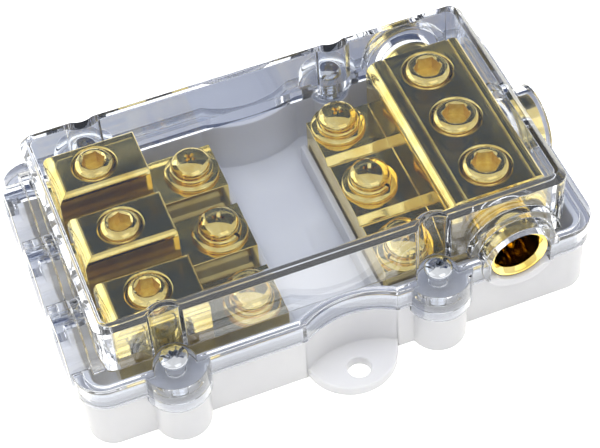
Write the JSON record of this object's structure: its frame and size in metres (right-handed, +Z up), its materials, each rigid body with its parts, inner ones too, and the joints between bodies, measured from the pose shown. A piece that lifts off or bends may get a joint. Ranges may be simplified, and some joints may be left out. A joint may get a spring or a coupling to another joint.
{
  "type": "mini anl fuse holder",
  "caption": "Clear-covered rectangular distribution block for small bolt-down strip fuses, with set-screw wire terminals, round wire ports and mounting ears.",
  "frame": {"origin": "middle of the base tray's underside", "axes": "+X along the housing towards the supply terminal, +Y across it, +Z up out of the underside"},
  "size_m": [0.0996, 0.07, 0.0292],
  "materials": {
    "frosted_plastic": "satin, slightly translucent moulded polycarbonate",
    "clear_plastic": "clear polished moulded polycarbonate",
    "gold_plated_brass": "polished, bright gold plated",
    "plated_steel": "bright nickel plated"
  },
  "bodies": {
    "tray": {"base": "frosted_plastic", "input_block": "gold_plated_brass", "output_block_1": "gold_plated_brass", "output_block_2": "gold_plated_brass", "output_block_3": "gold_plated_brass", "output_fixing_screw_1": "plated_steel", "output_fixing_screw_2": "plated_steel", "output_fixing_screw_3": "plated_steel", "input_fixing_screw_1": "plated_steel", "input_fixing_screw_2": "plated_steel"},
    "cover": {"cover": "clear_plastic"},
    "cover_screw_1": {"cover_screw_1": "plated_steel"},
    "cover_screw_2": {"cover_screw_2": "plated_steel"},
    "cover_screw_3": {"cover_screw_3": "plated_steel"},
    "cover_screw_4": {"cover_screw_4": "plated_steel"},
    "input_fuse_screw_1": {"input_fuse_screw_1": "gold_plated_brass", "input_lock_washer_1": "gold_plated_brass", "input_flat_washer_1": "gold_plated_brass"},
    "input_fuse_screw_2": {"input_fuse_screw_2": "gold_plated_brass", "input_lock_washer_2": "gold_plated_brass", "input_flat_washer_2": "gold_plated_brass"},
    "input_fuse_screw_3": {"input_fuse_screw_3": "gold_plated_brass", "input_lock_washer_3": "gold_plated_brass", "input_flat_washer_3": "gold_plated_brass"},
    "output_fuse_screw_1": {"output_fuse_screw_1": "gold_plated_brass", "output_lock_washer_1": "gold_plated_brass", "output_flat_washer_1": "gold_plated_brass"},
    "output_fuse_screw_2": {"output_fuse_screw_2": "gold_plated_brass", "output_lock_washer_2": "gold_plated_brass", "output_flat_washer_2": "gold_plated_brass"},
    "output_fuse_screw_3": {"output_fuse_screw_3": "gold_plated_brass", "output_lock_washer_3": "gold_plated_brass", "output_flat_washer_3": "gold_plated_brass"},
    "input_set_screw_1": {"input_set_screw_1": "gold_plated_brass"},
    "input_set_screw_2": {"input_set_screw_2": "gold_plated_brass"},
    "input_set_screw_3": {"input_set_screw_3": "gold_plated_brass"},
    "output_set_screw_1": {"output_set_screw_1": "gold_plated_brass"},
    "output_set_screw_2": {"output_set_screw_2": "gold_plated_brass"},
    "output_set_screw_3": {"output_set_screw_3": "gold_plated_brass"}
  },
  "joints": [
    {"name": "cover_lift", "type": "slide", "parent": "tray", "child": "cover", "axis": [0, 0, 1], "range_m": [0, 0.03]},
    {"name": "cover_screw_1_travel", "type": "slide", "parent": "cover", "child": "cover_screw_1", "axis": [0, 0, 1], "range_m": [0, 0.01]},
    {"name": "cover_screw_2_travel", "type": "slide", "parent": "cover", "child": "cover_screw_2", "axis": [0, 0, 1], "range_m": [0, 0.01]},
    {"name": "cover_screw_3_travel", "type": "slide", "parent": "cover", "child": "cover_screw_3", "axis": [0, 0, 1], "range_m": [0, 0.01]},
    {"name": "cover_screw_4_travel", "type": "slide", "parent": "cover", "child": "cover_screw_4", "axis": [0, 0, 1], "range_m": [0, 0.01]},
    {"name": "input_fuse_screw_1_travel", "type": "slide", "parent": "tray", "child": "input_fuse_screw_1", "axis": [0, 0, 1], "range_m": [0, 0.007]},
    {"name": "input_fuse_screw_2_travel", "type": "slide", "parent": "tray", "child": "input_fuse_screw_2", "axis": [0, 0, 1], "range_m": [0, 0.007]},
    {"name": "input_fuse_screw_3_travel", "type": "slide", "parent": "tray", "child": "input_fuse_screw_3", "axis": [0, 0, 1], "range_m": [0, 0.007]},
    {"name": "output_fuse_screw_1_travel", "type": "slide", "parent": "tray", "child": "output_fuse_screw_1", "axis": [0, 0, 1], "range_m": [0, 0.007]},
    {"name": "output_fuse_screw_2_travel", "type": "slide", "parent": "tray", "child": "output_fuse_screw_2", "axis": [0, 0, 1], "range_m": [0, 0.007]},
    {"name": "output_fuse_screw_3_travel", "type": "slide", "parent": "tray", "child": "output_fuse_screw_3", "axis": [0, 0, 1], "range_m": [0, 0.007]},
    {"name": "input_set_screw_1_travel", "type": "slide", "parent": "tray", "child": "input_set_screw_1", "axis": [0, 0, -1], "range_m": [0, 0.0062]},
    {"name": "input_set_screw_2_travel", "type": "slide", "parent": "tray", "child": "input_set_screw_2", "axis": [0, 0, -1], "range_m": [0, 0.0062]},
    {"name": "input_set_screw_3_travel", "type": "slide", "parent": "tray", "child": "input_set_screw_3", "axis": [0, 0, -1], "range_m": [0, 0.0062]},
    {"name": "output_set_screw_1_travel", "type": "slide", "parent": "tray", "child": "output_set_screw_1", "axis": [0, 0, -1], "range_m": [0, 0.0062]},
    {"name": "output_set_screw_2_travel", "type": "slide", "parent": "tray", "child": "output_set_screw_2", "axis": [0, 0, -1], "range_m": [0, 0.0062]},
    {"name": "output_set_screw_3_travel", "type": "slide", "parent": "tray", "child": "output_set_screw_3", "axis": [0, 0, -1], "range_m": [0, 0.0062]}
  ]
}
